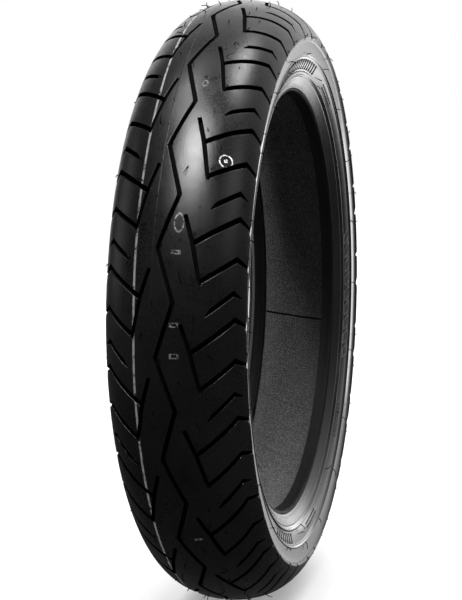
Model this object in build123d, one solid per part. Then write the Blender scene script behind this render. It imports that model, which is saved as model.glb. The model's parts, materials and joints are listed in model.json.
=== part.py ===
from build123d import *
import os
from math import cos, hypot, radians, sin

# A 140/70-18 motorcycle tyre, bias belted, standing on its tread with no rim in it.
# Millimetres. The wheel centre is the origin, the wheel axis is Y, and +Z is up.
# Sections are drawn as (across, radius): distance from the mid plane, distance from the axis.

# Crown of the tread: a wide arc over the middle, and a tighter one down to each shoulder edge.
# The tread is its plain outer shape here, without grooves.
OUTER_RADIUS = 326.5
CROWN_ARC = 95.0
CROWN_END = 21.3
SHOULDER_ARC = 62.0
SHOULDER_END = 67.35

# Thickness of the layers, from the air cavity outwards.
LINER = 1.2
PLY = 1.0
BREAKER = 1.0
UNDERTREAD = 1.3
TREAD = 8.0
CARCASS = LINER + 2 * PLY
BELTED = CARCASS + 2 * BREAKER
WALL = BELTED + UNDERTREAD + TREAD

# The cavity's wall turns through these headings on its way to the bead. 0 is across, 90 is inwards.
BODY_END = 50.0
FLANK_END = 100.0
BEAD_HEADING = 140.0
INNER_BREAKER_END = 41.0
OUTER_BREAKER_END = 34.0
UNDERTREAD_END = 58.0
TREAD_UNDERSIDE_END = 60.0

# Bead: a round bundle of wires in a rubber ring, with the plies turned up around it.
BEAD_CENTRE = (43.2, 235.8)
WIRE_RADIUS = 0.65
WIRE_PITCH = 1.36
RING_INNER = 3.45
RING_OUTER = 4.0
TURN_UP_HEADING = 23.0
OUTER_TURN_UP = 20.0
INNER_TURN_UP = 26.0

# Bead base: the seat fits an 18 inch rim.
SEAT_RADIUS = 457.2 / 2
SEAT_INNER = 41.5
SEAT_OUTER = 47.5
TOE = (36.0, 227.3)
HEEL = (50.0, 231.8)

# Outside of the sidewall, from the rim strip up to the shoulder edge.
RIM_LINE = (56.2, 243.6)
FITTING_LINE = (58.4, 246.6)
PANEL_LOW = (58.6, 250.6)
PANEL_HIGH = (63.4, 264.0)
RIDGE = (65.6, 267.2)
BUTTRESS = (66.0, 277.0)


def on_circle(centre, radius, heading):
    """Point of a circle where the path runs at this heading."""
    turn = radians(heading)
    return (centre[0] + radius * sin(turn), centre[1] + radius * cos(turn))


def arc(centre, radius, start, end):
    """Arc of a circle from one heading to another."""
    middle = (start + end) / 2
    return ThreePointArc(*[on_circle(centre, radius, h) for h in (start, middle, end)])


CROWN_CENTRE = (0.0, OUTER_RADIUS - CROWN_ARC)
SHOULDER_CENTRE = on_circle(CROWN_CENTRE, CROWN_ARC - SHOULDER_ARC, CROWN_END)
SHOULDER_EDGE = on_circle(SHOULDER_CENTRE, SHOULDER_ARC, SHOULDER_END)


def flank_arcs():
    """Radii and centres of the cavity's last two arcs, which must end tangent to the bead's wrap."""
    start = on_circle(SHOULDER_CENTRE, SHOULDER_ARC - WALL, BODY_END)
    end = on_circle(BEAD_CENTRE, -(RING_OUTER + CARCASS), BEAD_HEADING)
    s = [sin(radians(h)) for h in (BODY_END, FLANK_END, BEAD_HEADING)]
    c = [cos(radians(h)) for h in (BODY_END, FLANK_END, BEAD_HEADING)]
    across, along = end[0] - start[0], end[1] - start[1]
    determinant = (s[1] - s[0]) * (c[2] - c[1]) - (s[2] - s[1]) * (c[1] - c[0])
    upper = (across * (c[2] - c[1]) - (s[2] - s[1]) * along) / determinant
    lower = ((s[1] - s[0]) * along - (c[1] - c[0]) * across) / determinant
    upper_centre = on_circle(start, -upper, BODY_END)
    lower_centre = on_circle(on_circle(upper_centre, upper, FLANK_END), -lower, FLANK_END)
    return [(upper_centre, upper), (lower_centre, lower)]


UPPER_FLANK, LOWER_FLANK = flank_arcs()
# Stretches of the cavity's wall: centre, radius, first and last heading.
PATH = [
    (CROWN_CENTRE, CROWN_ARC - WALL, 0.0, CROWN_END),
    (SHOULDER_CENTRE, SHOULDER_ARC - WALL, CROWN_END, BODY_END),
    (*UPPER_FLANK, BODY_END, FLANK_END),
    (*LOWER_FLANK, FLANK_END, BEAD_HEADING),
]


def path_point(depth, heading):
    """Point at a depth outside the cavity's wall, where the wall runs at this heading."""
    for centre, radius, start, end in PATH:
        if heading <= end:
            return on_circle(centre, radius + depth, heading)


def path_edges(depth, last):
    """Edges from the mid plane to a heading, at a depth outside the cavity's wall."""
    edges = []
    for centre, radius, start, end in PATH:
        if start < last:
            edges.append(arc(centre, radius + depth, start, min(end, last)))
    return edges


def wrap_radius(depth):
    """Radius about the bead's centre of a layer at this depth."""
    return RING_OUTER + CARCASS - depth


def turn_up_point(depth, length):
    """Point on a turned-up ply, this far above its wrap around the bead."""
    foot = on_circle(BEAD_CENTRE, wrap_radius(depth), 90 + TURN_UP_HEADING)
    rise = radians(TURN_UP_HEADING)
    return (foot[0] + length * sin(rise), foot[1] + length * cos(rise))


def bead_edges(depth, length):
    """Edges around the bead from its inner side to a height on the turn-up."""
    radius = -wrap_radius(depth)
    wrapped = arc(BEAD_CENTRE, radius, BEAD_HEADING, TURN_UP_HEADING - 90)
    return [wrapped, Line(turn_up_point(depth, 0), turn_up_point(depth, length))]


def face_of(edges):
    """Face inside a ring of edges, given in order with straight lines closing its gaps."""
    ring = []
    for edge, following in zip(edges, edges[1:] + edges[:1]):
        ring.append(edge)
        gap = following @ 0 - edge @ 1
        if gap.length > 1e-6:
            ring.append(Line(edge @ 1, following @ 0))
    return make_face(Curve() + ring)


def backwards(edges):
    """The same edges, run the other way."""
    return [Edge.make_line(e @ 1, e @ 0) if e.geom_type == GeomType.LINE
            else ThreePointArc(e @ 1, e @ 0.5, e @ 0) for e in reversed(edges)]


def both_sides(half):
    """A half section joined to its mirror image across the mid plane."""
    return half + mirror(half, about=Plane.YZ)


def strip(inner, outer, last):
    """Right half of a layer between two depths, up to a heading."""
    return face_of(path_edges(inner, last) + backwards(path_edges(outer, last)))


def ply(inner, outer, length):
    """Right half of a body ply, which turns up around the bead."""
    return face_of(path_edges(inner, BEAD_HEADING) + bead_edges(inner, length)
                   + backwards(path_edges(outer, BEAD_HEADING) + bead_edges(outer, length)))


def polygon(*points):
    """Face with straight sides."""
    return make_face(Polyline(*points, close=True))


def wheel(section):
    """Ring turned about the wheel axis from a section drawn as (across, radius)."""
    return revolve(Plane.YZ * section, Axis.Y)


def crown_depth(depth, last):
    """Edges of the tread's own arcs, this far below its surface."""
    return [arc(CROWN_CENTRE, CROWN_ARC - depth, 0.0, CROWN_END),
            arc(SHOULDER_CENTRE, SHOULDER_ARC - depth, CROWN_END, last)]


# ---------------------------------------------------------------- right half of the section

def wall_face():
    """The whole wall, between the air cavity and the outside."""
    inner_bead = arc(BEAD_CENTRE, -wrap_radius(0), BEAD_HEADING, 90.0)
    outside = crown_depth(0, SHOULDER_END) + [
        ThreePointArc(SHOULDER_EDGE, BUTTRESS, (RIDGE[0] - 0.6, RIDGE[1] + 1.3)),
        Polyline((RIDGE[0] - 0.6, RIDGE[1] + 1.3), RIDGE, (RIDGE[0] - 1.0, RIDGE[1] - 1.3),
                 PANEL_HIGH, PANEL_LOW, FITTING_LINE, RIM_LINE, HEEL),
        Line(HEEL, (SEAT_OUTER, SEAT_RADIUS)),
        Line((SEAT_OUTER, SEAT_RADIUS), (SEAT_INNER, SEAT_RADIUS)),
        Line((SEAT_INNER, SEAT_RADIUS), TOE),
    ]
    return face_of(outside + backwards(path_edges(0, BEAD_HEADING) + [inner_bead]))


def wire_bundle():
    """Bundle of wires wound side by side: one in the middle and two rings around it."""
    bundle = Pos(*BEAD_CENTRE) * RegularPolygon(2 * WIRE_PITCH, 6)
    for row in (-2, -1, 0, 1, 2):
        for column in range(-2, 3):
            across = (column + row / 2) * WIRE_PITCH
            along = row * WIRE_PITCH * cos(radians(30))
            if WIRE_PITCH * 1.5 < hypot(across, along) < WIRE_PITCH * 2.1:
                place = (BEAD_CENTRE[0] + across, BEAD_CENTRE[1] + along)
                bundle += Pos(*place) * Circle(WIRE_RADIUS)
    return bundle


wall = wall_face()
liner = face_of(path_edges(0, BEAD_HEADING) + [arc(BEAD_CENTRE, -wrap_radius(0), BEAD_HEADING, 90.0)]
                + backwards(path_edges(LINER, BEAD_HEADING)
                            + [arc(BEAD_CENTRE, -wrap_radius(LINER), BEAD_HEADING, 90.0)]))
ply_inner = ply(LINER, LINER + PLY, INNER_TURN_UP)
ply_outer = ply(LINER + PLY, CARCASS, OUTER_TURN_UP)
ply_inner -= ply_outer
breaker_inner = strip(CARCASS, CARCASS + BREAKER, INNER_BREAKER_END)
breaker_outer = strip(CARCASS + BREAKER, BELTED, OUTER_BREAKER_END)
undertread = face_of(crown_depth(TREAD, UNDERTREAD_END)
                     + backwards(crown_depth(TREAD + UNDERTREAD, UNDERTREAD_END)))
tread = face_of(crown_depth(0, SHOULDER_END) + backwards(crown_depth(TREAD, TREAD_UNDERSIDE_END)))
ring_outline = Pos(*BEAD_CENTRE) * Circle(RING_OUTER)
bead_ring = ring_outline - Pos(*BEAD_CENTRE) * Circle(RING_INNER)

plies = [liner, ply_inner, ply_outer, ring_outline]
tread_corner = on_circle(SHOULDER_CENTRE, SHOULDER_ARC - TREAD, TREAD_UNDERSIDE_END)
flank_point = path_point(CARCASS, 88.0)

filler = polygon(BEAD_CENTRE, path_point(CARCASS - PLY / 2, BEAD_HEADING),
                 path_point(CARCASS - PLY / 2, 125.0), path_point(CARCASS - PLY / 2, 114.0),
                 turn_up_point(LINER + PLY / 2, INNER_TURN_UP - 0.5), turn_up_point(LINER + PLY / 2, 0))
filler -= plies
chafer = wall & polygon((30, 220), (60, 220), (60, 232.6), BEAD_CENTRE, (30, BEAD_CENTRE[1]))
chafer -= plies + [filler]
rim_strip = wall & polygon(BEAD_CENTRE, (60, 232.6), (66, RIM_LINE[1] - 0.4), RIM_LINE,
                           turn_up_point(CARCASS, 11.0))
rim_strip -= plies + [filler, chafer]
shoulder_wedge = wall & polygon(path_point(0, 30), path_point(0, 60), path_point(0, 80), flank_point,
                                tread_corner, (tread_corner[0] - 4, 310), (40, 316), (20, 322))
shoulder_wedge -= plies + [breaker_inner, breaker_outer, undertread, tread]
sidewall = wall & polygon(SHOULDER_EDGE, (90, 290), (90, 230), BEAD_CENTRE, path_point(0, 110),
                          path_point(0, 88), flank_point, tread_corner)
sidewall -= plies + [filler, chafer, rim_strip, shoulder_wedge, undertread, tread]


# ---------------------------------------------------------------- the parts

os.makedirs("parts", exist_ok=True)
parts = {
    "tread": wheel(both_sides(tread)),
    "undertread": wheel(both_sides(undertread)),
    "breaker_outer": wheel(both_sides(breaker_outer)),
    "breaker_inner": wheel(both_sides(breaker_inner)),
    "body_ply_outer": wheel(both_sides(ply_outer)),
    "body_ply_inner": wheel(both_sides(ply_inner)),
    "inner_liner": wheel(both_sides(liner)),
}
one_side = {
    "sidewall": wheel(sidewall),
    "shoulder_wedge": wheel(shoulder_wedge),
    "bead_filler": wheel(filler),
    "bead_ring": wheel(bead_ring),
    "bead_wires": wheel(wire_bundle()),
    "rim_strip": wheel(rim_strip),
    "chafer": wheel(chafer),
}
for name, part in one_side.items():
    parts[name + "_right"] = part
    parts[name + "_left"] = Compound([mirror(piece, about=Plane.XZ) for piece in part.solids()])

for name, part in parts.items():
    print(name, len(part.solids()), round(part.volume))
    export_step(part, f"parts/{name}.step")
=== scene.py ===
import json
import math
import random
import bpy
import numpy as np
from mathutils import Matrix, Vector
from mathutils.geometry import delaunay_2d_cdt

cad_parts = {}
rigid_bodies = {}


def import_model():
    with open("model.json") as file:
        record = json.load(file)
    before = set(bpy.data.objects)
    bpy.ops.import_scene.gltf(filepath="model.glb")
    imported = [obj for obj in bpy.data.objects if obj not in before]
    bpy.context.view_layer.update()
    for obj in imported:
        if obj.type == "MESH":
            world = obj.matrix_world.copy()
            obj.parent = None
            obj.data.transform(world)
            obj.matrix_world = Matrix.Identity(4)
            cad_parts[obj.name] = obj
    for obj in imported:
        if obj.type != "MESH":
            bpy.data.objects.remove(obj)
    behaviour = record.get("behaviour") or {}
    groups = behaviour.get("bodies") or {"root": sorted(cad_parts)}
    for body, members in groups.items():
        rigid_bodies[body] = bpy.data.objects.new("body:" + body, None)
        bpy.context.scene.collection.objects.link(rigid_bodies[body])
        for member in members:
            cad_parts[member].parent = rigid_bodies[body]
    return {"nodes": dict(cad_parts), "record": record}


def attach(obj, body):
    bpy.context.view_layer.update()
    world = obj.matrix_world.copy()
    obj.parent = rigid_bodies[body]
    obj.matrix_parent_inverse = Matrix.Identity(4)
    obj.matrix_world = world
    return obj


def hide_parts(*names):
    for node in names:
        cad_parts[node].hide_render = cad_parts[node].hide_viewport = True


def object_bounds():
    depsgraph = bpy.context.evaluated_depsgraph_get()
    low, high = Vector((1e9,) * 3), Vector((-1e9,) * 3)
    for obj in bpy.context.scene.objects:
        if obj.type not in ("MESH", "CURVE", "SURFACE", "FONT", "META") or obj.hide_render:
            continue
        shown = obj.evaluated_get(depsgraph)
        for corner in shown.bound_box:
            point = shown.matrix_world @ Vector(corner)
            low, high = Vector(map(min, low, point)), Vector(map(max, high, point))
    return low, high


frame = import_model()
cad_low, cad_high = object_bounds()

# Shapes are worked out in millimetres as (across, radius): distance from the mid plane and from the
# wheel axis, which is Y. Angles round the wheel are in degrees, from +X up towards +Z.
MM = 0.001
RIM_RADIUS = 457.2 / 2
OUTER_RADIUS = cad_high.z / MM
# The tread's two arcs: each one's radius and the heading where it ends.
CROWN_ARC, CROWN_END = 95.0, 21.3
SHOULDER_ARC, SHOULDER_END = 62.0, 67.35
TREAD_THICK = 8.0
WALL_THICK = 14.5
LINER_THICK = 1.2
# Headings where the cavity's arcs meet, and the bead that they wrap.
BODY_END, FLANK_END, BEAD_HEADING = 50.0, 100.0, 140.0
BEAD_CENTRE = np.array((43.2, 235.8))
BEAD_WRAP = 7.2
# The buttress ends at the ridge, which it meets at this slope.
RIDGE_TOP = (65.0, 268.5)
BUTTRESS_SLOPE = 0.08

# The tread pattern repeats by pitches, in degrees. ROUND turns degrees into millimetres at the crown.
PITCHES = 20
PITCH = 360.0 / PITCHES
ROUND = math.radians(1) * OUTER_RADIUS
WHOLE_ROUND = PITCHES * PITCH * ROUND


# ------------------------------------------------------------------ outlines

def heading(angle):
    """Direction square to a path that runs at this heading. 0 is across and 90 is inwards."""
    return np.array((math.sin(math.radians(angle)), math.cos(math.radians(angle))))


def arc_points(centre, radius, start, end, step=0.5):
    """Points of a circle from one heading to another, about a step apart."""
    count = max(3, int(abs(radius * math.radians(end - start)) / step) + 1)
    return [centre + radius * heading(a) for a in np.linspace(start, end, count)]


def arc_through(first, middle, last, count):
    """Points of the circle arc through three points."""
    (ax, ay), (bx, by), (cx, cy) = first, middle, last
    d = 2 * (ax * (by - cy) + bx * (cy - ay) + cx * (ay - by))
    a2, b2, c2 = ax * ax + ay * ay, bx * bx + by * by, cx * cx + cy * cy
    centre = np.array(((a2 * (by - cy) + b2 * (cy - ay) + c2 * (ay - by)) / d,
                       (a2 * (cx - bx) + b2 * (ax - cx) + c2 * (bx - ax)) / d))
    start, end = [math.atan2(p[1] - centre[1], p[0] - centre[0]) for p in (first, last)]
    turn = (end - start + math.pi) % (2 * math.pi) - math.pi
    radius = math.dist(first, centre)
    return [centre + radius * np.array((math.cos(t), math.sin(t)))
            for t in np.linspace(start, start + turn, count)]


class Path:
    """A smooth line in (across, radius), read by the distance along it."""

    def __init__(self, points, soften=0.0):
        points = np.array(points)
        run = np.concatenate([[0], np.cumsum(np.hypot(*np.diff(points, axis=0).T))])
        self.length = run[-1]
        self.along = np.arange(0, self.length, 0.1)
        self.points = np.stack([np.interp(self.along, run, points[:, i]) for i in (0, 1)], 1)
        if soften:
            window = np.hanning(int(soften / 0.1) * 2 + 3)
            window /= window.sum()
            pad = len(window) // 2
            for i in (0, 1):
                column = np.pad(self.points[:, i], pad, mode="reflect", reflect_type="odd")
                self.points[:, i] = np.convolve(column, window, mode="valid")
        tangent = np.gradient(self.points, axis=0)
        tangent /= np.hypot(*tangent.T)[:, None]
        self.normals = np.stack([-tangent[:, 1], tangent[:, 0]], 1)

    def at(self, along):
        """Places and outward normals at these distances."""
        place = np.stack([np.interp(along, self.along, self.points[:, i]) for i in (0, 1)], -1)
        normal = np.stack([np.interp(along, self.along, self.normals[:, i]) for i in (0, 1)], -1)
        return place, normal / np.linalg.norm(normal, axis=-1, keepdims=True)


CROWN_CENTRE = np.array((0.0, OUTER_RADIUS - CROWN_ARC))
SHOULDER_CENTRE = CROWN_CENTRE + (CROWN_ARC - SHOULDER_ARC) * heading(CROWN_END)
SHOULDER_EDGE = SHOULDER_CENTRE + SHOULDER_ARC * heading(SHOULDER_END)


def crown_line(depth, last):
    """The tread's own two arcs, this far below its surface."""
    return (arc_points(CROWN_CENTRE, CROWN_ARC - depth, 0, CROWN_END)
            + arc_points(SHOULDER_CENTRE, SHOULDER_ARC - depth, CROWN_END, last)[1:])


def cavity_line(depth):
    """The air cavity's wall from the mid plane to the bead's inner side, this far into the rubber."""
    start = SHOULDER_CENTRE + (SHOULDER_ARC - WALL_THICK) * heading(BODY_END)
    end = BEAD_CENTRE - BEAD_WRAP * heading(BEAD_HEADING)
    turns = np.stack([heading(FLANK_END) - heading(BODY_END),
                      heading(BEAD_HEADING) - heading(FLANK_END)], 1)
    upper, lower = np.linalg.solve(turns, end - start)
    upper_centre = start - upper * heading(BODY_END)
    lower_centre = upper_centre + (upper - lower) * heading(FLANK_END)
    return (arc_points(CROWN_CENTRE, CROWN_ARC - WALL_THICK + depth, 0, CROWN_END, 2)
            + arc_points(SHOULDER_CENTRE, SHOULDER_ARC - WALL_THICK + depth, CROWN_END, BODY_END, 2)[1:]
            + arc_points(upper_centre, upper + depth, BODY_END, FLANK_END, 2)[1:]
            + arc_points(lower_centre, lower + depth, FLANK_END, BEAD_HEADING, 2)[1:]
            + arc_points(BEAD_CENTRE, depth - BEAD_WRAP, BEAD_HEADING, 90, 2)[1:])


def buttress_line():
    """Outside from the shoulder edge down to the ridge: a lip that curves in to a nearly upright band."""
    drop = SHOULDER_EDGE[1] - RIDGE_TOP[1]
    lip = SHOULDER_EDGE[0] - RIDGE_TOP[0] - BUTTRESS_SLOPE * drop
    share = np.linspace(1, 0, 60)
    return [np.array((RIDGE_TOP[0] + BUTTRESS_SLOPE * drop * t + lip * t ** 4, RIDGE_TOP[1] + drop * t))
            for t in share]


CROWN = crown_line(0, SHOULDER_END)
TREAD = Path(CROWN + buttress_line()[1:], soften=0.9)
EDGE_AT = sum(math.dist(a, b) for a, b in zip(CROWN, CROWN[1:]))
TREAD_END = EDGE_AT + 4.0


# ------------------------------------------------------------------ mesh helpers

def new_piece(name, points, faces, material, sharp=None, normals=None):
    """Mesh object from points in metres. It rides on the tyre's one body."""
    mesh = bpy.data.meshes.new(name)
    mesh.from_pydata([tuple(p) for p in points], [], [tuple(int(i) for i in f) for f in faces])
    mesh.update()
    mesh.polygons.foreach_set("use_smooth", [True] * len(mesh.polygons))
    if sharp is not None:
        mesh.set_sharp_from_angle(angle=math.radians(sharp))
    if normals is not None:
        mesh.normals_split_custom_set_from_vertices([tuple(n) for n in normals])
    mesh.materials.append(material)
    piece = bpy.data.objects.new(name, mesh)
    bpy.context.scene.collection.objects.link(piece)
    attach(piece, "root")
    return piece


def turned(across, radius, angle):
    """Points in metres from places in the section and angles round the wheel."""
    a = np.radians(angle)
    return np.stack([radius * np.cos(a), across + 0 * a, radius * np.sin(a)], -1) * MM


def lathe(name, outline, steps, material, side=1, sharp=40, relief=None):
    """Closed ring from a closed outline. relief(places, angles) is how far each point stands out."""
    outline = np.array(outline)
    count = len(outline)
    angles = np.arange(steps) * 360 / steps
    across = np.broadcast_to(outline[:, 0], (steps, count)).copy()
    radius = np.broadcast_to(outline[:, 1], (steps, count)).copy()
    if relief:
        tangent = np.roll(outline, -1, 0) - np.roll(outline, 1, 0)
        tangent /= np.hypot(*tangent.T)[:, None]
        out = relief(outline, angles)
        across += out * -tangent[:, 1]
        radius += out * tangent[:, 0]
    points = turned(side * across, radius, angles[:, None]).reshape(-1, 3)
    i, j = np.meshgrid(np.arange(steps), np.arange(count), indexing="ij")
    i2, j2 = (i + 1) % steps, (j + 1) % count
    faces = np.stack([i * count + j, i * count + j2, i2 * count + j2, i2 * count + j], -1).reshape(-1, 4)
    if side > 0:
        faces = faces[:, ::-1]
    return new_piece(name, points, faces, material, sharp)


# ------------------------------------------------------------------ materials

class Nodes:
    """Short way to build a material's node tree."""

    def __init__(self, name):
        self.material = bpy.data.materials.new(name)
        self.material.use_nodes = True
        self.tree = self.material.node_tree
        self.shader = self.tree.nodes["Principled BSDF"]
        self.place = self.add("ShaderNodeTexCoord").outputs["Object"]

    def add(self, kind, **values):
        node = self.tree.nodes.new(kind)
        for key, value in values.items():
            if key.startswith("in_"):
                socket = node.inputs[int(key[3:])] if key[3:].isdigit() else node.inputs[key[3:]]
                if isinstance(value, bpy.types.NodeSocket):
                    self.tree.links.new(value, socket)
                else:
                    socket.default_value = value
            else:
                setattr(node, key, value)
        return node

    def math(self, operation, a, b=0.0, c=0.0, clamp=False):
        return self.add("ShaderNodeMath", operation=operation, use_clamp=clamp,
                        in_0=a, in_1=b, in_2=c).outputs[0]

    def noise(self, scale, detail=3.0, rough=0.5):
        return self.add("ShaderNodeTexNoise", in_Vector=self.place, in_Scale=scale,
                        in_Detail=detail, in_Roughness=rough).outputs["Fac"]

    def span(self, value, low, high, to_low=0.0, to_high=1.0):
        return self.add("ShaderNodeMapRange", in_0=value, in_1=low, in_2=high,
                        in_3=to_low, in_4=to_high).outputs[0]

    def mix(self, share, first, second):
        node = self.add("ShaderNodeMix", data_type="RGBA", in_0=share)
        for socket, value in ((node.inputs[6], first), (node.inputs[7], second)):
            if isinstance(value, bpy.types.NodeSocket):
                self.tree.links.new(value, socket)
            else:
                socket.default_value = (*value, 1.0)
        return node.outputs[2]

    def bump(self, height, distance, strength=1.0, below=None):
        node = self.add("ShaderNodeBump", in_Height=height, in_Distance=distance, in_Strength=strength)
        if below:
            self.tree.links.new(below, node.inputs["Normal"])
        return node.outputs["Normal"]

    def set(self, **values):
        for key, value in values.items():
            socket = self.shader.inputs[key.replace("_", " ")]
            if isinstance(value, bpy.types.NodeSocket):
                self.tree.links.new(value, socket)
            else:
                socket.default_value = value


def grey(level):
    """Grey with a slight blue cast."""
    return (level, level, level * 1.03)


def rubber(name, dark, light, smooth, rough, grain=0.00008, grain_scale=1400.0, shine=0.5, wave=0.0003):
    """Moulded rubber: mottled tone, patchy gloss and a fine grain. Returns its nodes, tone and bump.

    dark to light is the tone, smooth to rough the gloss, and grain and wave are the depths of the fine
    and the coarse bumps in metres.
    """
    n = Nodes(name)
    patch = n.span(n.noise(9.0, 4.0, 0.6), 0.35, 0.68)
    speck = n.span(n.noise(420.0, 2.0, 0.6), 0.3, 0.75)
    tone = n.mix(n.math("MULTIPLY_ADD", speck, 0.35, n.math("MULTIPLY", patch, 0.65)),
                 grey(dark), grey(light))
    gloss = n.math("ADD", n.span(n.noise(22.0, 3.0, 0.6), 0.3, 0.7, smooth, rough),
                   n.span(speck, 0, 1, -130 * wave, 200 * wave))
    ground = n.bump(n.noise(grain_scale, 2.0, 0.55), grain)
    skin = n.bump(n.noise(120.0, 3.0, 0.6), wave, 0.35, ground)
    n.set(Base_Color=tone, Roughness=gloss, Normal=skin, Specular_IOR_Level=shine)
    return n, tone, skin


def ink_shapes(n, lay):
    """Paint on the tread: a stripe round the tyre and a few chalky marks, as a share from 0 to 1.

    lay is where a point is on the flat tread: across, round and how deep in a groove.
    """
    split = n.add("ShaderNodeSeparateXYZ", in_0=lay)
    along, round_, depth = split.outputs
    on_top = n.math("LESS_THAN", depth, 0.25)
    wobble = n.math("MULTIPLY_ADD", n.noise(14.0, 2.0), 3.0, along)
    worn = n.span(n.noise(180.0, 4.0, 0.7), 0.34, 0.5)
    flecks = n.span(n.noise(520.0, 3.0, 0.7), 0.42, 0.56)
    away = n.math("ABSOLUTE", n.math("SUBTRACT", wobble, STRIPE_AT))
    stripe = n.math("MULTIPLY", n.span(away, STRIPE_HALF - 0.3, STRIPE_HALF + 0.3, 1.0, 0.0), worn)
    shapes = [n.math("MULTIPLY", stripe, STRIPE_STRENGTH)]
    for across, angle, wide, tall, kind, strength in INK_MARKS:
        dx = n.math("DIVIDE", n.math("SUBTRACT", along, across), wide / 2)
        dy = n.math("DIVIDE", n.math("SUBTRACT", round_, angle * ROUND), tall / 2)
        if kind == "box":
            away = n.math("MAXIMUM", n.math("ABSOLUTE", dx), n.math("ABSOLUTE", dy))
        else:
            away = n.math("SQRT", n.math("ADD", n.math("MULTIPLY", dx, dx), n.math("MULTIPLY", dy, dy)))
        shape = n.span(away, 0.93, 1.05, 1.0, 0.0)
        if kind != "dot":
            line = INK_LINE / min(wide, tall)
            shape = n.math("SUBTRACT", shape, n.span(away, 0.95 - line, 1.05 - line, 1.0, 0.0))
        shapes.append(n.math("MULTIPLY", n.math("MULTIPLY", shape, flecks), strength))
    total = shapes[0]
    for shape in shapes[1:]:
        total = n.math("MAXIMUM", total, shape)
    return n.math("MULTIPLY", total, on_top, clamp=True), along, depth


# Across the tread, in millimetres: the ink stripe, the mould's parting line and an ink mark's line width.
STRIPE_AT, STRIPE_HALF, STRIPE_STRENGTH = -29.8, 1.15, 0.22
PARTING_AT = -12.8
INK_LINE = 2.2
# Ink marks: across, degrees round, width, height, shape and strength.
INK_MARKS = [
    (10.5, 20.2, 10.0, 19.0, "ring", 0.26),
    (9.5, 15.3, 9.0, 4.0, "box", 0.2),
    (10.0, 3.5, 9.5, 4.5, "box", 0.14),
    (9.5, -1.6, 9.0, 5.0, "box", 0.14),
    (47.5, 32.0, 14.0, 14.0, "ring", 1.3),
    (47.5, 32.0, 4.0, 4.0, "dot", 1.3),
    (13.5, 47.2, 6.0, 9.0, "ring", 0.16),
    (12.0, -38.0, 8.0, 3.0, "box", 0.14),
]


def tread_material():
    """The tread's rubber with its ink and parting line, duller inside the grooves, and darker there as
    painted shade.
    """
    n, tone, skin = rubber("tread_rubber", 0.0025, 0.007, 0.24, 0.36, shine=0.08)
    lay = n.add("ShaderNodeAttribute", attribute_name="lay").outputs["Vector"]
    ink, along, depth = ink_shapes(n, lay)
    # Painted shade: the tone goes near-black with depth down into the grooves.
    sunk = n.span(depth, 0.3, 4.5)
    tone = n.mix(sunk, tone, grey(0.002))
    tone = n.mix(ink, tone, grey(0.8))
    away = n.math("ABSOLUTE", n.math("SUBTRACT", along, PARTING_AT))
    parting = n.math("MULTIPLY", n.span(away, 0.1, 0.5, 1.0, 0.0), n.math("LESS_THAN", depth, 0.1))
    gloss = n.shader.inputs["Roughness"].links[0].from_socket
    n.set(Base_Color=tone, Normal=n.bump(parting, 0.0003, 0.8, skin),
          Roughness=n.math("MAXIMUM", gloss, n.span(depth, 0.3, 2.0, 0.0, 0.95)))
    return n.material


def cord_material(name, dark, light, pitch, lean, shine=0.4):
    """Rubber-coated cord: fine slanted threads under a thin skin of rubber."""
    n, tone, skin = rubber(name, dark, light, 0.42, 0.6, shine=shine)
    split = n.add("ShaderNodeSeparateXYZ", in_0=n.place)
    x, y, z = split.outputs
    angle = n.math("ARCTAN2", z, x)
    turns = 2 * math.pi * RIM_RADIUS / pitch
    phase = n.math("MULTIPLY_ADD", angle, turns, n.math("MULTIPLY", y, lean * 2 * math.pi / (pitch * MM)))
    thread = n.math("SINE", phase)
    n.set(Normal=n.bump(thread, 0.00025, 0.5, skin),
          Base_Color=n.mix(n.span(thread, -1, 1, 0.0, 0.6), tone, grey(light * 1.6)))
    return n.material


def liner_material():
    """Dull cavity rubber with a coarse sandy grain and pale specks."""
    n, tone, skin = rubber("liner_rubber", 0.003, 0.03, 0.5, 0.66, 0.0014, 850.0, 0.35)
    specks = n.span(n.noise(700.0, 2.0, 0.7), 0.48, 0.66)
    n.set(Base_Color=n.mix(specks, tone, grey(0.10)))
    return n.material


def steel_material():
    """Bronze-coated bead wire."""
    n = Nodes("bead_steel")
    n.set(Base_Color=n.mix(n.noise(300.0, 4.0), (0.55, 0.46, 0.30), (0.72, 0.62, 0.44)), Metallic=1.0,
          Roughness=n.span(n.noise(90.0), 0.3, 0.7, 0.28, 0.45), Normal=n.bump(n.noise(900.0), 0.00005))
    return n.material


# ------------------------------------------------------------------ tread

# Grooves of one pitch on the right half, as (distance along the crown, degrees round), and the width at
# each point. The left half is the same, mirrored and half a pitch further round. Long grooves end at
# RUN_OUT.
RUN_OUT = EDGE_AT + 2.2
GROOVES = [
    ([(15.6, 3.6), (24.0, -1.0), (32.9, -8.0)], [3.8, 4.2, 3.6]),
    ([(23.6, -1.3), (69.5, 4.2), (RUN_OUT, 2.6)], [4.8, 5.4, 2.6]),
    ([(32.0, -7.5), (69.5, -3.1), (RUN_OUT, -4.6)], [4.6, 5.4, 2.6]),
    ([(38.6, 4.9), (44.0, 5.9), (67.0, 8.9), (77.0, 8.0)], [0.9, 4.4, 4.8, 1.2]),
]
# The zigzag groove turns at this distance from the mid plane, first at this angle on the right.
ZIGZAG_REACH, ZIGZAG_AT = 8.4, 7.0
ZIGZAG_WIDTH = 4.1
# How deep grooves are on the crown, at the shoulder edge and where they end.
GROOVE_DEPTH, SHOULDER_DEPTH, RUN_OUT_DEPTH = 6.5, 3.2, 0.6
# Each ring of a groove's outline: how far outside the groove's edge, and how deep. The first few
# are a rounded lip, in millimetres, and the others are shares of the groove's depth.
LEVELS = [(0.45, 0.0), (0.14, 0.1), (0.0, 0.42), (-0.35, 0.86), (-0.8, 1.0)]
LIP_LEVELS = 3
# Faces wholly below this depth take the near-black groove rubber, which is painted shade in the grooves.
GROOVE_FROM = 0.3
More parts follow.
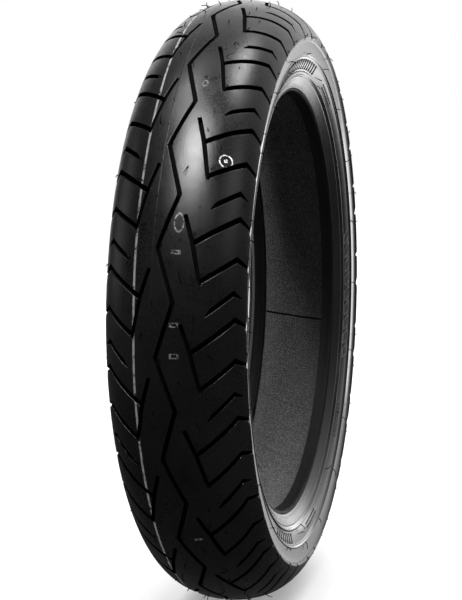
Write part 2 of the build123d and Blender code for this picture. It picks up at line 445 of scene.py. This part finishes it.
# Steps of the mesh between grooves: across in millimetres, and round in degrees.
GRID_ACROSS, GRID_ROUND = 4.2, PITCH / 14


def band(points, widths, out):
    """Outline of a band along a bent line, with mitred bends, moved out all round."""
    points = [np.array(p, float) for p in points]
    first, last = points[1] - points[0], points[-1] - points[-2]
    points[0] = points[0] - first / np.hypot(*first) * out
    points[-1] = points[-1] + last / np.hypot(*last) * out
    left, right = [], []
    for i, (p, width) in enumerate(zip(points, widths)):
        steps = [points[j + 1] - points[j] for j in (i - 1, i) if 0 <= j < len(points) - 1]
        normals = [np.array((-s[1], s[0])) / np.hypot(*s) for s in steps]
        total = sum(normals)
        reach = total * max(0.15, width + 2 * out) * len(normals) / total.dot(total) / 2
        left.append(p + reach)
        right.append(p - reach)
    return left + right[::-1]


def inside(points, outline):
    """Whether each point is in an outline or on its edge, and how far from the edge it is."""
    x, y = points[:, 0], points[:, 1]
    within = np.zeros(len(points), bool)
    near = np.full(len(points), 1e9)
    for (ax, ay), (bx, by) in zip(outline, outline[1:] + outline[:1]):
        crosses = (ay > y) != (by > y)
        with np.errstate(divide="ignore", invalid="ignore"):
            at = ax + (y - ay) / (by - ay) * (bx - ax) if by != ay else np.full(len(points), 1e9)
        within ^= crosses & (x < at)
        t = np.clip(((x - ax) * (bx - ax) + (y - ay) * (by - ay)) / ((bx - ax) ** 2 + (by - ay) ** 2), 0, 1)
        near = np.minimum(near, np.hypot(x - ax - t * (bx - ax), y - ay - t * (by - ay)))
    return within | (near < 0.02), near


def groove_outlines():
    """For each groove that reaches into one pitch, its outlines from lip to floor."""
    grooves = []
    for turn in (-PITCH, 0.0, PITCH):
        for side, shift in ((1, 0.0), (-1, -PITCH / 2)):
            for points, widths in GROOVES:
                line = [(side * s, (a + shift + turn) * ROUND) for s, a in points]
                grooves.append([band(line, widths, out) for out, _ in LEVELS])
    chain = [(side * ZIGZAG_REACH, (ZIGZAG_AT - PITCH / 2 * i) * ROUND)
             for i, side in zip(range(-3, 5), [-1, 1] * 4)]
    grooves.append([band(chain, [ZIGZAG_WIDTH] * len(chain), out) for out, _ in LEVELS])
    return grooves


def divided(outline, like, step):
    """An outline cut into short edges, as many on each side as its outermost ring has."""
    points = []
    for i in range(len(outline)):
        a, b = outline[i], outline[(i + 1) % len(outline)]
        count = max(1, round(math.dist(like[i], like[(i + 1) % len(like)]) / step))
        points += [a + (b - a) * k / count for k in range(count)]
    return points


def flat_pitch():
    """Triangles of one flat pitch: points as (along, round), the ring each belongs to, and faces."""
    low = -0.5 * PITCH * ROUND
    high = low + PITCH * ROUND
    grooves = groove_outlines()
    points, edges = [], []
    for rings in grooves:
        if max(p[1] for p in rings[0]) < low - 8 or min(p[1] for p in rings[0]) > high + 8:
            continue
        for ring in rings:
            loop = divided(ring, rings[0], 6.0)
            first = len(points)
            points += loop
            edges += [(first + k, first + (k + 1) % len(loop)) for k in range(len(loop))]
    across = np.linspace(-TREAD_END, TREAD_END, int(2 * TREAD_END / GRID_ACROSS) + 1)
    edge_rows = [s * (EDGE_AT + d) for s in (-1, 1) for d in (-0.8, -0.25, 0.25, 0.8)]
    across = np.unique(np.concatenate([across, edge_rows]))
    rows = np.arange(low, high + 0.01, GRID_ROUND * ROUND)
    grid = np.array([(x, y) for y in rows for x in across])
    keep = np.ones(len(grid), bool)
    for rings in grooves:
        outer, near = inside(grid, rings[0])
        keep &= ~outer & (near > 0.9)
    on_end = np.abs(np.abs(grid[:, 0]) - TREAD_END) < 1e-6
    grid = grid[keep | on_end]
    points += list(grid)
    corner = len(points)
    ends = ((-TREAD_END, low), (TREAD_END, low), (TREAD_END, high), (-TREAD_END, high))
    points += [np.array(p) for p in ends]
    edges += [(corner + k, corner + (k + 1) % 4) for k in range(4)]
    verts, _, faces, _, _, _ = delaunay_2d_cdt([Vector((p[0], p[1])) for p in points], edges, [], 0, 1e-4)
    verts = np.array([tuple(v) for v in verts])
    faces = np.array([tuple(f) for f in faces])
    middle = verts[faces].mean(1)
    faces = faces[(middle[:, 1] > low) & (middle[:, 1] < high) & (np.abs(middle[:, 0]) < TREAD_END)]
    used = np.unique(faces)
    verts, faces = verts[used], np.searchsorted(used, faces)
    level = np.zeros(len(verts), int)
    for rings in grooves:
        for k, ring in enumerate(rings):
            within, _ = inside(verts, ring)
            level[within] = np.maximum(level[within], k)
    return verts, level, faces


def groove_depth(along):
    """How deep a groove is at this place: full, and running out over the shoulder edge."""
    places = [0, EDGE_AT - 12, EDGE_AT - 1, RUN_OUT + 1]
    return np.interp(np.abs(along), places, [GROOVE_DEPTH, GROOVE_DEPTH, SHOULDER_DEPTH, RUN_OUT_DEPTH])


def whole_tread():
    """All the pitches joined into one ring: flat points as (along, round), their depths and faces."""
    flat, level, faces = flat_pitch()
    out = np.array([d for _, d in LEVELS])
    full = groove_depth(flat[:, 0])
    depth = np.where(level < LIP_LEVELS, out[level], out[level] * full)
    depth = np.tile(np.minimum(depth, full), PITCHES)
    points = np.concatenate([flat + (0, k * PITCH * ROUND) for k in range(PITCHES)])
    faces = np.concatenate([faces + k * len(flat) for k in range(PITCHES)])
    key = np.round(np.stack([points[:, 0], points[:, 1] % WHOLE_ROUND], 1), 2)
    key[:, 1] %= round(WHOLE_ROUND, 2)
    _, first, back = np.unique(key, axis=0, return_index=True, return_inverse=True)
    faces = back.reshape(-1)[faces]
    whole = (faces[:, 0] != faces[:, 1]) & (faces[:, 1] != faces[:, 2]) & (faces[:, 2] != faces[:, 0])
    return points[first], depth[first], faces[whole]


def underside(flat):
    """Points in metres under the tread, and faces that close it between its two edges.

    flat is the tread's own points. The faces use those at its edges, and count the new points after them.
    """
    ends = []
    for sign in (1, -1):
        rim = np.where(np.abs(flat[:, 0] - sign * TREAD_END) < 1e-3)[0]
        ends.append(rim[np.argsort(flat[rim, 1] % WHOLE_ROUND)])
    section = np.array(crown_line(TREAD_THICK, 60))[::8][::-1]
    section = np.concatenate([section, (section * (-1, 1))[::-1][1:]])
    angles = flat[ends[0], 1] / ROUND
    count = len(angles)
    points = [turned(np.full(count, across), np.full(count, radius), angles) for across, radius in section]
    rings = [len(flat) + count * k + np.arange(count) for k in range(len(section))]
    rings = [ends[0], *rings, ends[1]]
    faces = [np.stack([one, two, np.roll(two, -1), np.roll(one, -1)], 1)
             for one, two in zip(rings, rings[1:])]
    return np.concatenate(points), np.concatenate(faces)


def skin_normals(points, faces, closing, facing, depth):
    """Faces turned outwards, and normals: the crown's own on the top, averages of the faces elsewhere."""
    corner = points[faces]
    cross = np.cross(corner[:, 1] - corner[:, 0], corner[:, 2] - corner[:, 0])
    if (cross * facing[faces[:, 0]]).sum() < 0:
        faces, cross = faces[:, ::-1], -cross
    normals = np.zeros_like(points)
    steep = depth[faces].max(1) > 0
    for k in range(3):
        np.add.at(normals, faces[steep, k], cross[steep])
    quad = points[closing]
    quad_cross = np.cross(quad[:, 2] - quad[:, 0], quad[:, 3] - quad[:, 1])
    for k in range(4):
        np.add.at(normals, closing[:, k], quad_cross)
    top = np.where(depth == 0)[0]
    normals[top] = facing[top]
    return faces, normals / (np.linalg.norm(normals, axis=1, keepdims=True) + 1e-12)


def tread_piece(material, groove_shade_material):
    """The tread's outer skin with its grooves, closed by an underside."""
    flat, depth, faces = whole_tread()
    place, normal = TREAD.at(np.abs(flat[:, 0]))
    side = np.where(flat[:, 0] < 0, -1.0, 1.0)
    angle = flat[:, 1] / ROUND
    sunk = place - normal * depth[:, None]
    facing = turned(side * normal[:, 0], normal[:, 1], angle)
    under, closing = underside(flat)
    points = np.concatenate([turned(side * sunk[:, 0], sunk[:, 1], angle), under])
    faces, normals = skin_normals(points, faces, closing, facing, depth)
    piece = new_piece("tread_skin", points, [tuple(f) for f in faces] + [tuple(f) for f in closing],
                      material, normals=normals)
    # Faces deep in the grooves take the near-black second material: painted shade.
    piece.data.materials.append(groove_shade_material)
    in_groove = np.concatenate([depth[faces].min(1) > GROOVE_FROM, np.zeros(len(closing), bool)])
    piece.data.polygons.foreach_set("material_index", in_groove.astype(np.int32))
    lay = np.zeros((len(points), 3))
    lay[:len(flat)] = np.stack([flat[:, 0], (angle + 180) % 360 * ROUND - 180 * ROUND, depth], 1)
    lay[len(flat):, 2] = TREAD_THICK
    store = piece.data.attributes.new("lay", "FLOAT_VECTOR", "POINT")
    store.data.foreach_set("vector", lay.ravel())
    return piece


# ------------------------------------------------------------------ sidewalls, beads and liner

# Fine raised lines on the buttress, and the mark panel, which bulges between its two ends.
LINE_PITCH, LINE_HEIGHT = 1.6, 0.012
PANEL_TOP, PANEL_FOOT = np.array((63.4, 264.0)), np.array((58.6, 250.6))
PANEL_BULGE = 0.5


def sidewall_outline():
    """Closed section of one sidewall: buttress, ridge, mark panel, fitting lines and the inner side."""
    along = np.arange(TREAD_END, TREAD.length - 0.4, 0.32)
    buttress, normal = TREAD.at(along)
    lines = np.maximum(0, np.sin((along - TREAD_END) * 2 * math.pi / LINE_PITCH)) * LINE_HEIGHT
    buttress = buttress + normal * (lines * (along > TREAD_END + 3))[:, None]
    outer = [tuple(p) for p in buttress]
    outer += [(65.05, 268.3), (65.5, 267.7), (65.6, 267.2), (65.4, 266.7), (64.5, 266.1), (64.1, 265.6)]
    outer += [(64.15, 265.2), (64.1, 264.8), (63.4, 264.0)]
    panel = [PANEL_TOP + (PANEL_FOOT - PANEL_TOP) * t for t in np.linspace(0, 1, 9)[1:]]
    outer += [(p[0] + PANEL_BULGE * math.sin(math.pi * (i + 1) / 8), p[1]) for i, p in enumerate(panel)]
    outer += [(57.9, 250.4), (58.9, 250.1), (59.3, 249.5), (59.45, 248.8), (59.3, 248.1), (58.6, 247.3),
              (58.3, 247.0), (57.7, 246.4), (57.2, 246.0), (56.8, 245.5), (56.5, 245.0), (55.7, 244.7),
              (56.4, 244.3), (56.2, 243.6)]
    inner = [(53.4, 243.9), (57.0, 255.5), (57.6, 262.0), (58.4, 275.0), (58.75, 289.2), (64.0, 286.5)]
    return outer + inner


def rim_band_outline():
    """Closed section of the band that the rim's flange presses on."""
    return [(56.2, 243.6), (55.4, 242.1), (54.2, 239.9), (53.0, 237.6), (51.8, 235.3), (50.9, 233.6),
            (50.3, 232.5), (49.0, 232.9), (51.0, 238.5), (53.2, 243.9)]


def chafer_outline():
    """Closed section of the fabric round the bead: heel, base, toe and inner face."""
    heel = arc_through((50.3, 232.5), (49.6, 230.2), (47.6, RIM_RADIUS), 7)
    base = [(x, RIM_RADIUS) for x in (46.2, 44.6, 43.0, 41.5)]
    toe = [(39.6, 228.2), (37.8, 227.8), (36.6, 227.5), (36.1, 227.6), (36.0, 228.3)]
    face = [(36.0, r) for r in (230.0, 232.0, 234.0, 235.8)]
    inner = [(37.6, 235.8), (39.0, 231.5), (43.2, 230.2), (47.4, 231.6), (49.0, 232.9)]
    return [tuple(p) for p in heel] + base + toe + face + inner


# Threads of the chafer fabric round the wheel.
CORD_TURNS = 420


def cord_relief(places, angles):
    """Threads of the chafer fabric, slanted, on the faces that show."""
    phase = np.radians(angles)[:, None] * CORD_TURNS + (places[:, 0] + places[:, 1]) * 1.5
    shown = (places[:, 1] < 232.6) | (places[:, 0] < 36.5)
    hidden = (places[:, 0] > 37) & (places[:, 0] < 49.4) & (places[:, 1] > 229.5)
    return np.sin(phase) * 0.16 * (shown & ~hidden)


def rim_relief(places, angles):
    """Cord pattern pressed into the rubber just above the bead's heel."""
    phase = np.radians(angles)[:, None] * CORD_TURNS + places[:, 1] * 2.2
    return np.sin(phase) * 0.2 * ((places[:, 1] < 236) & (places[:, 0] > 50.5))


def cavity_outline():
    """Closed section of the liner, from one bead over the crown to the other and back."""
    skin = [tuple(p) for p in cavity_line(0)]
    back = [tuple(p) for p in cavity_line(LINER_THICK)]
    left = [(-a, r) for a, r in skin[:0:-1]]
    left_back = [(-a, r) for a, r in back[1:]]
    return (left + skin + back[::-1] + left_back)[::-1]


# Ribs all round the liner, some of them missing, and the one wide splice, whose near-black strip is painted
# shade of an open joint.
RIBS, RIB_SHARE, RIB_HALF, RIB_LEAN = 54, 0.7, 0.4, 5.5
SPLICE_AT, SPLICE_HALF, SPLICE_LEAN = 191.6, 1.6, 2.2
STRIP_SINK, STRIP_HEIGHT = 0.2, 0.15


def cavity_strips(name, strips, material):
    """Thin slanted strips on the liner, as (start angle, half width, lean in degrees)."""
    line = Path(cavity_line(0), soften=1.0)
    points, faces = [], []
    reach = line.length - 9
    stations = np.linspace(-reach, reach, 61)
    place, normal = line.at(np.abs(stations))
    side = np.where(stations < 0, -1.0, 1.0)
    for start, half, lean in strips:
        angle = start + lean * stations / reach
        section = [(-half, -STRIP_SINK), (-half * 0.45, STRIP_HEIGHT),
                   (half * 0.45, STRIP_HEIGHT), (half, -STRIP_SINK)]
        first = len(points)
        for wide, tall in section:
            inwards = place - normal * tall
            rows = turned(side * inwards[:, 0], inwards[:, 1], angle + np.degrees(wide / place[:, 1]))
            points += list(rows)
        count = len(stations)
        for k in range(4):
            one, two = first + k * count, first + (k + 1) % 4 * count
            faces += [(one + i, one + i + 1, two + i + 1, two + i) for i in range(count - 1)]
        faces.append(tuple(first + k * count for k in range(4)))
        faces.append(tuple(first + k * count + count - 1 for k in (3, 2, 1, 0)))
    return new_piece(name, points, faces, material, sharp=50)


# Where the raised marks are, in degrees round the wheel: hatching from and to, and centres.
HATCHED = [(52, 106), (284, 304)]
OUTLINED = [186, 6]
SMALL_ROWS = [120, 222, 262, 330]
# Degrees from one mark to the next and its width, its lean in degrees a millimetre, and its two radii.
STROKE = (2.3, 1.0, 0.12, 251.8, 263.2)
OUTLINE = (4.0, 2.8, -0.16, 252.2, 262.6)
MARKS_IN_ROW = 9
MARK_SINK, MARK_HEIGHT, SMALL_HEIGHT, MARK_CHAMFER = -0.4, 0.55, 0.35, 0.25


def raised_marks(name, side, material, hatched=(), outlined=(), small_rows=()):
    """Generic raised strokes, outlines and rows of bars in the sidewall's mark panel: no letters."""
    slope = (PANEL_TOP - PANEL_FOOT) / (PANEL_TOP[1] - PANEL_FOOT[1])
    points, faces = [], []

    def block(low, high, start, end, lean, height=MARK_HEIGHT):
        """A raised patch between two radii and two angles, leaning with the radius."""
        first = len(points)
        steps = max(2, int(abs(end - start) / 1.5) + 1)
        for lift, inset in ((MARK_SINK, 0.0), (height, MARK_CHAMFER)):
            for radius in (low + inset, high - inset):
                share = (radius - PANEL_FOOT[1]) / (PANEL_TOP[1] - PANEL_FOOT[1])
                base = PANEL_FOOT + slope * (radius - PANEL_FOOT[1])
                across = base[0] + PANEL_BULGE * math.sin(math.pi * min(max(share, 0), 1)) + lift
                trim = math.degrees(inset / radius)
                angles = np.linspace(start + trim, end - trim, steps) + lean * (radius - 257)
                points.extend(turned(side * np.full(steps, across), np.full(steps, radius), angles))
        a, b, c, d = (first + k * steps for k in range(4))
        rows = [(a, b), (b, d), (d, c), (c, a)]
        quads = [(p + i, p + i + 1, q + i + 1, q + i) for p, q in rows for i in range(steps - 1)]
        last = steps - 1
        quads += [(a, b, d, c), (c + last, d + last, b + last, a + last)]
        faces.extend(quads if side < 0 else [f[::-1] for f in quads])

    def frame_mark(low, high, start, end, lean, border=0.28):
        """A slanted four-sided outline."""
        rise = 1.3
        block(high - rise, high, start, end, lean)
        block(low, low + rise, start, end, lean)
        block(low, high, start, start + border, lean)
        block(low, high, end - border, end, lean)

    step, wide, lean, low, high = STROKE
    for start, end in hatched:
        for k in range(int((end - start) / step)):
            at = start + step * k
            block(low, high, at, at + wide, lean)
    step, wide, lean, low, high = OUTLINE
    for centre in outlined:
        for k in range(MARKS_IN_ROW):
            start = centre - 18 + k * step
            frame_mark(low, high, start, start + wide, lean)
    for centre in small_rows:
        for row in (253.4, 257.0):
            for k in range(MARKS_IN_ROW):
                block(row, row + 2.1, centre - 5.5 + 1.2 * k, centre - 4.7 + 1.2 * k, 0.0,
                      SMALL_HEIGHT)
    return new_piece(name, points, faces, material, sharp=30)


# ------------------------------------------------------------------ moulding hairs

# Where the hairs of one pitch stand, as (distance along the crown, degrees round).
TREAD_HAIRS_RIGHT = [(13, -5.6), (34.6, -6.2), (28.5, 5.1), (26.0, 0.9), (41, -1.5),
                     (EDGE_AT - 1.5, 5.2), (EDGE_AT - 1.5, -2.2)]
TREAD_HAIRS_LEFT = [(5, -2.0), (12.5, 7.0), (22, 2.0), (37, -3.6), (31, 9.3), (40, 3.0),
                    (EDGE_AT - 1.5, -3.8)]
# Lengths and radius in metres. Hairs beyond this distance along the crown are shorter, by side.
HAIR_LENGTHS, HAIR_RADIUS = (0.003, 0.005, 0.006, 0.007), 0.00055
SHORTER_FROM, SHORTER = 38, {-1: 0.3, 1: 0.5}
WALL_SHORTER = 0.9
TREAD_DROOP, WALL_DROOP = 1.5, 1.1


def hair(points, faces, root, normal, length, bend, width):
    """Thin tapered tube that leaves the rubber square and droops one way."""
    sides, steps = 6, 7
    first = len(points)
    helper = Vector((0, 0, 1)) if abs(normal.z) < 0.9 else Vector((1, 0, 0))
    for k in range(steps):
        t = k / (steps - 1)
        centre = root + (normal * (t - 0.25 * t * t) + bend * t * t) * length - normal * 0.0004
        along = (normal * (1 - 0.5 * t) + bend * 2 * t).normalized()
        u = along.cross(helper).normalized()
        v = along.cross(u)
        size = width * (1.25 - 0.25 * min(1, t * 5)) * (1 - 0.35 * t)
        for i in range(sides):
            a = 2 * math.pi * i / sides
            points.append(centre + (u * math.cos(a) + v * math.sin(a)) * size)
    for k in range(steps - 1):
        for i in range(sides):
            j = (i + 1) % sides
            a, b = first + k * sides, first + (k + 1) * sides
            faces.append((a + i, b + i, b + j, a + j))
    faces.append(tuple(first + i for i in range(sides)))
    faces.append(tuple(first + (steps - 1) * sides + i for i in reversed(range(sides))))


def moulding_hairs(material):
    """Hairs of rubber from the mould's vents, on the tread and on both sidewalls."""
    random.seed(7)
    floor = -OUTER_RADIUS * MM
    for name, places in (("tread_hairs", tread_hair_places()),
                         ("sidewall_hairs_right", wall_hair_places(1)),
                         ("sidewall_hairs_left", wall_hair_places(-1))):
        points, faces = [], []
        for along, angle, side in places:
            place, normal = WALL_HAIRS[along] if along in WALL_HAIRS else TREAD.at(np.array([along]))
            place, normal = place.reshape(2), normal.reshape(2)
            root = Vector(turned(side * place[0], place[1], np.array(angle)).reshape(3))
            out = Vector(turned(side * normal[0], normal[1], np.array(angle)).reshape(3)).normalized()
            length = random.choice(HAIR_LENGTHS) * random.uniform(0.8, 1.2)
            if along in WALL_HAIRS:
                length *= WALL_SHORTER
            elif along > SHORTER_FROM:
                length *= SHORTER[side]
            droop = Vector((random.uniform(-1, 1), random.uniform(-0.6, 0.6), random.uniform(-1, 0.4)))
            bend = (droop - out * droop.dot(out)) * (WALL_DROOP if along in WALL_HAIRS else TREAD_DROOP)
            if (root + (out + bend) * length).z < floor + MM:
                continue
            hair(points, faces, root, out, length, bend, HAIR_RADIUS)
        piece = new_piece(name, points, faces, material)


def tread_hair_places():
    """Distance along the crown, angle and side of each hair on the tread."""
    places = []
    for k in range(PITCHES):
        for side, roots in ((1, TREAD_HAIRS_RIGHT), (-1, TREAD_HAIRS_LEFT)):
            for along, angle in roots:
                if random.random() < 0.94:
                    places.append((along, angle + k * PITCH + random.uniform(-0.4, 0.4), side))
    return places


def wall_hair_places(side):
    """Name of the place in WALL_HAIRS, angle and side of each hair on a sidewall."""
    places = []
    for k in range(PITCHES):
        for code, share in (("buttress", 1.0), ("panel", 0.45), ("rim", 0.2)):
            if random.random() < share:
                places.append((code, k * PITCH + WALL_HAIR_AT + random.uniform(-1.5, 1.5), side))
    return places


# Degrees from the start of a pitch to its hairs on the sidewall, the places on the section where they
# stand, and the way out of the rubber there.
WALL_HAIR_AT = 3.0
WALL_HAIRS = {
    "buttress": (np.array((65.3, 268.4)), np.array((0.97, 0.24))),
    "panel": (np.array((61.5, 257.0)), np.array((0.94, -0.34))),
    "rim": (np.array((59.2, 248.8)), np.array((0.98, -0.2))),
}


# ------------------------------------------------------------------ the tyre

tread_rubber = tread_material()
wall_rubber = rubber("sidewall_rubber", 0.005, 0.010, 0.16, 0.2, 0.00001, 2200.0, 0.2, 0.00003)[0].material
mark_rubber = rubber("mark_rubber", 0.006, 0.014, 0.62, 0.8, shine=0.2)[0].material
# Paler than the sidewall rubber, so the raised outlines show light: a painted highlight on their edges.
outline_highlight_rubber = rubber("outline_highlight_rubber", 0.03, 0.06, 0.5, 0.6, shine=0.3)[0].material
rim_rubber = rubber("rim_rubber", 0.004, 0.009, 0.22, 0.25, 0.00001, 2200.0, 0.13, 0.00003)[0].material
base_rubber = rubber("base_rubber", 0.015, 0.03, 0.6, 0.75)[0].material
hair_rubber = rubber("hair_rubber", 0.0003, 0.001, 0.8, 0.9, shine=0.01)[0].material
liner_rubber = liner_material()
rib_rubber = rubber("rib_rubber", 0.004, 0.016, 0.6, 0.75, shine=0.2)[0].material
# Near-black, dull rubber for the splice strip: painted shade where the liner's joint is.
splice_shade_rubber = rubber("splice_shade_rubber", 0.001, 0.003, 0.9, 1.0, shine=0.05)[0].material
chafer_fabric = cord_material("chafer_fabric", 0.0015, 0.004, 3.44, 0.9, 0.04)
ply_cord = cord_material("ply_cord", 0.05, 0.09, 1.2, 0.6)
bead_steel = steel_material()
# Near-black, dull rubber for the faces deep in the grooves: painted shade in the recesses.
groove_shade_rubber = rubber("groove_shade_rubber", 0.0004, 0.001, 0.9, 1.0, shine=0.02)[0].material

tread_skin = tread_piece(tread_rubber, groove_shade_rubber)
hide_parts("tread")

for word, side in (("right", 1), ("left", -1)):
    wall = lathe("sidewall_skin_" + word, sidewall_outline(), 360, wall_rubber, side)
    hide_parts("sidewall_" + word)
    rim_band = lathe("rim_band_" + word, rim_band_outline(), 3 * CORD_TURNS, rim_rubber, side, 50,
                     rim_relief)
    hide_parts("rim_strip_" + word)
    bead = lathe("bead_base_" + word, chafer_outline(), 5 * CORD_TURNS, chafer_fabric, side, 50,
                 cord_relief)
    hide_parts("chafer_" + word)
    marks = raised_marks("sidewall_hatching_" + word, side, mark_rubber, hatched=HATCHED,
                         small_rows=SMALL_ROWS)
    shapes = raised_marks("sidewall_outlines_" + word, side, outline_highlight_rubber, outlined=OUTLINED)

cavity = lathe("cavity_skin", cavity_outline(), 360, liner_rubber)
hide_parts("inner_liner")
random.seed(3)
ribs = [(k * 360 / RIBS, RIB_HALF, RIB_LEAN) for k in range(RIBS) if random.random() < RIB_SHARE]
cavity_strips("liner_ribs", ribs, rib_rubber)
# The splice is a raised strip in near-black rubber: painted shade of the joint.
splice = [(SPLICE_AT, SPLICE_HALF, SPLICE_LEAN)]
cavity_strips("liner_splice", splice, splice_shade_rubber)
moulding_hairs(hair_rubber)

# The inner layers are the CAD nodes themselves, so they only need materials.
inside_materials = {"base_rubber": base_rubber, "ply_cord": ply_cord, "bead_steel": bead_steel,
                    "liner_rubber": liner_rubber, "tread_rubber": tread_rubber, "rim_rubber": rim_rubber,
                    "sidewall_rubber": wall_rubber, "chafer_fabric": chafer_fabric}
for part in frame["record"]["subparts"]:
    node = frame["nodes"][part["node"]]
    for holder in node.material_slots:
        holder.material = inside_materials[part["material_slot"]]


# ------------------------------------------------------------------ floor, light and camera

FLOOR_HALF = 6.0


def floor_piece():
    """Plain pale floor. Reflections in the rubber don't show it."""
    n = Nodes("studio_floor")
    n.set(Base_Color=n.mix(n.noise(3.0), (0.80, 0.80, 0.80), (0.84, 0.84, 0.84)), Roughness=0.7)
    mesh = bpy.data.meshes.new("studio_floor")
    low, wide = cad_low.z, FLOOR_HALF
    mesh.from_pydata([(-wide, -wide, low), (wide, -wide, low), (wide, wide, low), (-wide, wide, low)],
                     [], [(0, 1, 2, 3)])
    mesh.materials.append(n.material)
    piece = bpy.data.objects.new("studio_floor", mesh)
    bpy.context.scene.collection.objects.link(piece)
    piece.visible_glossy = False
    return piece


def area_light(name, place, target, size, power, spread, only, soft=True, glossy=True, blockers=None):
    """Lamp for one group, where only the blockers, if given, cast shadows.

    One that isn't soft shows only as a highlight, and one that isn't glossy has no highlight.
    """
    light = bpy.data.lights.new(name, "AREA")
    light.shape = "RECTANGLE"
    light.size, light.size_y = size
    light.energy = power
    light.spread = math.radians(spread)
    lamp = bpy.data.objects.new(name, light)
    lamp.location = place
    lamp.visible_camera = False
    lamp.visible_diffuse = soft
    lamp.visible_glossy = glossy
    if blockers:
        lamp.light_linking.blocker_collection = blockers
    lamp.light_linking.receiver_collection = only
    lamp.rotation_mode = "QUATERNION"
    lamp.rotation_quaternion = (Vector(target) - Vector(place)).to_track_quat("-Z", "Y")
    bpy.context.scene.collection.objects.link(lamp)


# The camera that fits the photograph's outline: degrees, metres, millimetres and share of the width.
VIEW_AZIMUTH, VIEW_HEIGHT, VIEW_ROLL = 103.98, 7.65, -0.375
VIEW_DISTANCE = 1.858
FOCAL_LENGTH = 101.0
VIEW_SHIFT = -0.030


def camera():
    """The scene's camera, aimed at the wheel's centre."""
    a, e, roll = (math.radians(v) for v in (VIEW_AZIMUTH, VIEW_HEIGHT, VIEW_ROLL))
    back = Vector((math.sin(a) * math.cos(e), -math.cos(a) * math.cos(e), math.sin(e)))
    right = Vector((0, 0, 1)).cross(back).normalized()
    up = back.cross(right)
    turned_right = right * math.cos(roll) + up * math.sin(roll)
    turned_up = up * math.cos(roll) - right * math.sin(roll)
    data = bpy.data.cameras.new("camera")
    data.lens = FOCAL_LENGTH
    data.shift_x = VIEW_SHIFT
    data.clip_start, data.clip_end = 0.05, 50
    shot = bpy.data.objects.new("camera", data)
    shot.matrix_world = Matrix.Translation(back * VIEW_DISTANCE) @ Matrix(
        (turned_right, turned_up, back)).transposed().to_4x4()
    bpy.context.scene.collection.objects.link(shot)
    bpy.context.scene.camera = shot


def sky_light(name, strength, softness, only):
    """Even light from straight above, as from a large ceiling."""
    light = bpy.data.lights.new(name, "SUN")
    light.energy = strength
    light.angle = math.radians(softness)
    lamp = bpy.data.objects.new(name, light)
    lamp.light_linking.receiver_collection = only
    lamp.light_linking.blocker_collection = only
    bpy.context.scene.collection.objects.link(lamp)


def studio_world():
    """Bright behind and above, darker in front, as in a product studio. The camera sees it as white."""
    world = bpy.data.worlds.new("studio")
    world.use_nodes = True
    tree = world.node_tree
    ground = tree.nodes["Background"]

    def add(kind, *links, **values):
        node = tree.nodes.new(kind)
        for key, value in values.items():
            setattr(node, key, value)
        for i, value in enumerate(links):
            if isinstance(value, bpy.types.NodeSocket):
                tree.links.new(value, node.inputs[i])
            elif value is not None:
                node.inputs[i].default_value = value
        return node

    way = add("ShaderNodeTexCoord").outputs["Generated"]
    facing = add("ShaderNodeVectorMath", way, BRIGHT_WAY, operation="DOT_PRODUCT").outputs["Value"]
    light = add("ShaderNodeMapRange", facing, BRIGHT_FROM, 1.0, DARK_LEVEL, BRIGHT_LEVEL).outputs[0]
    seen = add("ShaderNodeLightPath").outputs["Is Camera Ray"]
    level = add("ShaderNodeMix", seen, None, light, BACKDROP_LEVEL).outputs[0]
    tree.links.new(level, ground.inputs["Strength"])
    ground.inputs["Color"].default_value = (1, 1, 1, 1)
    bpy.context.scene.world = world


def group(name, things):
    """Collection of the objects that a lamp lights."""
    collection = bpy.data.collections.new(name)
    for thing in things:
        collection.objects.link(thing)
    return collection


BACKDROP_LEVEL = 1.0
# The studio is brightest this way, and dark where the cosine to it is under BRIGHT_FROM.
BRIGHT_WAY, BRIGHT_FROM = (-0.853, 0.228, 0.469), 0.56
DARK_LEVEL, BRIGHT_LEVEL = 0.1, 2.1

bpy.context.scene.view_settings.view_transform = "Standard"
tyre = group("tyre_pieces", [thing for thing in bpy.data.objects if thing.type == "MESH"])
inner = group("inner_pieces", [thing for thing in tyre.objects
                               if thing.name.startswith(("cavity", "liner"))])
outer = group("outer_pieces", [thing for thing in tyre.objects if thing.name not in inner.objects])
floor = group("floor_pieces", [floor_piece()])
studio_world()
# Each lamp's place, target, size, watts, spread in degrees, and the group that it lights.
area_light("key_over", (0.90, 0.05, 1.33), (0.26, 0.01, 0.19), (0.5, 0.6), 12.5, 45, tyre, soft=False)
area_light("soft_over", (0.3, -0.4, 1.6), (0.2, 0, 0.25), (0.5, 0.5), 2.4, 50, tyre)
area_light("soft_front", (1.2, -0.2, 1.1), (0.2, 0, 0.05), (0.6, 0.6), 2.0, 60, tyre, glossy=False)
area_light("left_fill", (0.0, -2.0, 0.6), (0.1, 0, 0), (1.0, 1.2), 2.6, 120, outer)
area_light("right_fill", (0.5, 1.9, 1.2), (0.1, 0, 0), (1.1, 1.1), 9, 120, outer)
area_light("back_fill", (-1.9, -1.0, 0.5), (-0.1, 0, 0), (1.5, 1.5), 3, 120, outer)
area_light("crown_over", (-0.2, 0.51, 1.41), (0.19, 0.04, 0.26), (0.4, 0.4), 3.7, 60, tyre)
area_light("back_low", (-1.2, 0.38, -0.1), (0, 0.07, 0), (0.46, 0.42), 1.7, 180, tyre)
area_light("back_wide", (-1.25, 0.38, -0.15), (0, 0.07, 0), (0.5, 1.1), 0.5, 180, tyre)
area_light("inside_right", (-0.5, 1.0, 1.3), (-0.2, 0, -0.2), (0.4, 0.4), 4.8, 60, inner, blockers=floor)
sky_light("floor_wash", 2.6, 70, floor)
area_light("floor_back", (-2.6, 0, 2.6), (-1.0, 0, -0.33), (3, 3), 70, 180, floor)
camera()
